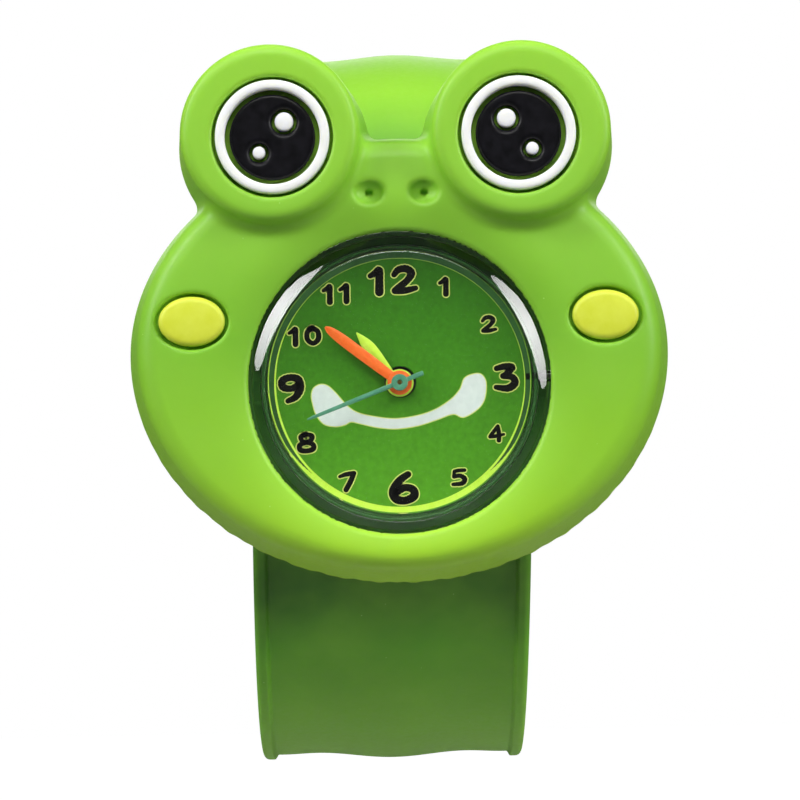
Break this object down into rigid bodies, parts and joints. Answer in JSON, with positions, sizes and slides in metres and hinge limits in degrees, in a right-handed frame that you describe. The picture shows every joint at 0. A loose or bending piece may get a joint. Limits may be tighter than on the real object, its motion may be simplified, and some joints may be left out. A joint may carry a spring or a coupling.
{
  "type": "toy slap watch",
  "caption": "Frog-head silicone slap watch: curled spring band that uncurls, clear round pod with three hands, wheel train and pull-out crown.",
  "frame": {"origin": "centre of the wrist loop, level with the dial centre", "axes": "+X to the wearer's three o'clock, +Z to twelve o'clock, the dial faces -Y"},
  "size_m": [0.05, 0.0849, 0.073],
  "materials": {
    "silicone": "satin moulded silicone",
    "spring_steel": "rolled spring steel",
    "white_inlay": "white silicone inlay",
    "black_inlay": "black silicone inlay",
    "yellow_inlay": "yellow-green silicone inlay",
    "clear_plastic": "polished clear plastic",
    "grey_plastic": "moulded",
    "white_plastic": "moulded",
    "dial_paint": "satin print",
    "lime_paint": "satin",
    "orange_paint": "satin",
    "teal_paint": "satin",
    "brass": "stamped",
    "plain_steel": "stamped",
    "black_metal": "blackened",
    "copper": "enamelled copper wire",
    "board": "solder mask"
  },
  "bodies": {
    "watch_body": {"band_centre": "silicone", "battery": "plain_steel", "battery_strap": "brass", "case_back": "grey_plastic", "circuit_board": "board", "clear_case": "clear_plastic", "coil_core": "plain_steel", "coil_winding": "copper", "dial": "dial_paint", "head_shell": "silicone", "left_cheek": "yellow_inlay", "left_eye_ring": "white_inlay", "left_glint_large": "white_inlay", "left_glint_small": "white_inlay", "left_pupil": "black_inlay", "lower_spring_strip": "spring_steel", "main_plate": "grey_plastic", "movement_holder": "white_plastic", "quartz_can": "plain_steel", "right_cheek": "yellow_inlay", "right_eye_ring": "white_inlay", "right_glint_large": "white_inlay", "right_glint_small": "white_inlay", "right_pupil": "black_inlay", "stator": "plain_steel", "train_bridge": "plain_steel", "upper_spring_strip": "spring_steel"},
    "upper_length_1": {"upper_link_1": "silicone"},
    "upper_length_2": {"upper_link_2": "silicone"},
    "upper_length_3": {"upper_link_3": "silicone"},
    "upper_length_4": {"upper_link_4": "silicone"},
    "upper_length_5": {"upper_link_5": "silicone"},
    "upper_length_6": {"upper_link_6": "silicone"},
    "upper_length_7": {"upper_link_7": "silicone"},
    "upper_length_8": {"upper_link_8": "silicone"},
    "lower_length_1": {"lower_link_1": "silicone"},
    "lower_length_2": {"lower_link_2": "silicone"},
    "lower_length_3": {"lower_link_3": "silicone"},
    "lower_length_4": {"lower_link_4": "silicone"},
    "lower_length_5": {"lower_link_5": "silicone"},
    "lower_length_6": {"lower_link_6": "silicone"},
    "lower_length_7": {"lower_link_7": "silicone"},
    "lower_length_8": {"lower_link_8": "silicone"},
    "second_train": {"second_wheel": "brass", "second_hand": "teal_paint"},
    "third_train": {"third_wheel": "brass"},
    "minute_train": {"centre_wheel": "brass", "minute_hand": "orange_paint"},
    "fifth_train": {"fifth_wheel": "brass"},
    "rotor_train": {"rotor": "grey_plastic"},
    "motion_train": {"minute_wheel": "brass"},
    "hour_train": {"hour_wheel": "brass", "hour_hand": "lime_paint"},
    "setting_slide": {"setting_lever": "plain_steel"},
    "setting_stem": {"stem": "black_metal", "crown": "black_metal"}
  },
  "joints": [
    {"name": "upper_arm_uncurl", "type": "hinge", "parent": "watch_body", "child": "upper_length_1", "pos_m": [0, -0.0343, 0.01248], "axis": [1, 0, 0], "range_deg": [0, 19.6], "deforming": ["upper_spring_strip"]},
    {"name": "upper_bend_2", "type": "hinge", "parent": "upper_length_1", "child": "upper_length_2", "pos_m": [0, -0.02812, 0.02327], "axis": [1, 0, 0], "range_deg": [0, 19.6], "deforming": ["upper_spring_strip"]},
    {"name": "upper_bend_3", "type": "hinge", "parent": "upper_length_2", "child": "upper_length_3", "pos_m": [0, -0.01869, 0.03135], "axis": [1, 0, 0], "range_deg": [0, 19.6], "deforming": ["upper_spring_strip"]},
    {"name": "upper_bend_4", "type": "hinge", "parent": "upper_length_3", "child": "upper_length_4", "pos_m": [0, -0.00709, 0.0358], "axis": [1, 0, 0], "range_deg": [0, 19.6], "deforming": ["upper_spring_strip"]},
    {"name": "upper_bend_5", "type": "hinge", "parent": "upper_length_4", "child": "upper_length_5", "pos_m": [0, 0.00533, 0.03611], "axis": [1, 0, 0], "range_deg": [0, 19.6], "deforming": ["upper_spring_strip"]},
    {"name": "upper_bend_6", "type": "hinge", "parent": "upper_length_5", "child": "upper_length_6", "pos_m": [0, 0.01714, 0.03223], "axis": [1, 0, 0], "range_deg": [0, 19.6], "deforming": ["upper_spring_strip"]},
    {"name": "upper_bend_7", "type": "hinge", "parent": "upper_length_6", "child": "upper_length_7", "pos_m": [0, 0.02695, 0.02461], "axis": [1, 0, 0], "range_deg": [0, 19.6], "deforming": ["upper_spring_strip"]},
    {"name": "upper_bend_8", "type": "hinge", "parent": "upper_length_7", "child": "upper_length_8", "pos_m": [0, 0.03365, 0.01414], "axis": [1, 0, 0], "range_deg": [0, 19.6], "deforming": ["upper_spring_strip"]},
    {"name": "lower_arm_uncurl", "type": "hinge", "parent": "watch_body", "child": "lower_length_1", "pos_m": [0, -0.0343, -0.01248], "axis": [-1, 0, 0], "range_deg": [0, 19.6], "deforming": ["lower_spring_strip"]},
    {"name": "lower_bend_2", "type": "hinge", "parent": "lower_length_1", "child": "lower_length_2", "pos_m": [0, -0.02812, -0.02327], "axis": [-1, 0, 0], "range_deg": [0, 19.6], "deforming": ["lower_spring_strip"]},
    {"name": "lower_bend_3", "type": "hinge", "parent": "lower_length_2", "child": "lower_length_3", "pos_m": [0, -0.01869, -0.03135], "axis": [-1, 0, 0], "range_deg": [0, 19.6], "deforming": ["lower_spring_strip"]},
    {"name": "lower_bend_4", "type": "hinge", "parent": "lower_length_3", "child": "lower_length_4", "pos_m": [0, -0.00709, -0.0358], "axis": [-1, 0, 0], "range_deg": [0, 19.6], "deforming": ["lower_spring_strip"]},
    {"name": "lower_bend_5", "type": "hinge", "parent": "lower_length_4", "child": "lower_length_5", "pos_m": [0, 0.00533, -0.03611], "axis": [-1, 0, 0], "range_deg": [0, 19.6], "deforming": ["lower_spring_strip"]},
    {"name": "lower_bend_6", "type": "hinge", "parent": "lower_length_5", "child": "lower_length_6", "pos_m": [0, 0.01714, -0.03223], "axis": [-1, 0, 0], "range_deg": [0, 19.6], "deforming": ["lower_spring_strip"]},
    {"name": "lower_bend_7", "type": "hinge", "parent": "lower_length_6", "child": "lower_length_7", "pos_m": [0, 0.02695, -0.02461], "axis": [-1, 0, 0], "range_deg": [0, 19.6], "deforming": ["lower_spring_strip"]},
    {"name": "lower_bend_8", "type": "hinge", "parent": "lower_length_7", "child": "lower_length_8", "pos_m": [0, 0.03365, -0.01414], "axis": [-1, 0, 0], "range_deg": [0, 19.6], "deforming": ["lower_spring_strip"]},
    {"name": "second_spin", "type": "hinge", "parent": "watch_body", "child": "second_train", "pos_m": [0, -0.0403, 0], "axis": [0, 1, 0], "continuous": true},
    {"name": "third_spin", "type": "hinge", "parent": "watch_body", "child": "third_train", "pos_m": [-0.0012, -0.0403, 0.00295], "axis": [0, 1, 0], "continuous": true},
    {"name": "minute_spin", "type": "hinge", "parent": "watch_body", "child": "minute_train", "pos_m": [0, -0.0403, 0], "axis": [0, 1, 0], "continuous": true},
    {"name": "fifth_spin", "type": "hinge", "parent": "watch_body", "child": "fifth_train", "pos_m": [0.00171, -0.0403, -0.00272], "axis": [0, 1, 0], "continuous": true},
    {"name": "rotor_spin", "type": "hinge", "parent": "watch_body", "child": "rotor_train", "pos_m": [0.00266, -0.0403, -0.00424], "axis": [0, 1, 0], "continuous": true},
    {"name": "motion_spin", "type": "hinge", "parent": "watch_body", "child": "motion_train", "pos_m": [0.00214, -0.0403, 0.00109], "axis": [0, 1, 0], "continuous": true},
    {"name": "hour_spin", "type": "hinge", "parent": "watch_body", "child": "hour_train", "pos_m": [0, -0.0403, 0], "axis": [0, 1, 0], "continuous": true},
    {"name": "crown_pull", "type": "slide", "parent": "watch_body", "child": "setting_slide", "axis": [0.9993, 0, 0.0366], "range_m": [0, 0.0009]},
    {"name": "crown_turn", "type": "hinge", "parent": "setting_slide", "child": "setting_stem", "pos_m": [0.01399, -0.0405, 0.00051], "axis": [0.9993, 0, 0.0366], "continuous": true}
  ],
  "couplings": [
    {"joint": "third_spin", "follows": "second_spin", "ratio": -0.13333},
    {"joint": "minute_spin", "follows": "second_spin", "ratio": 0.016667},
    {"joint": "fifth_spin", "follows": "second_spin", "ratio": -6},
    {"joint": "rotor_spin", "follows": "second_spin", "ratio": 30},
    {"joint": "motion_spin", "follows": "second_spin", "ratio": -0.0055556},
    {"joint": "hour_spin", "follows": "second_spin", "ratio": 0.0013889}
  ]
}
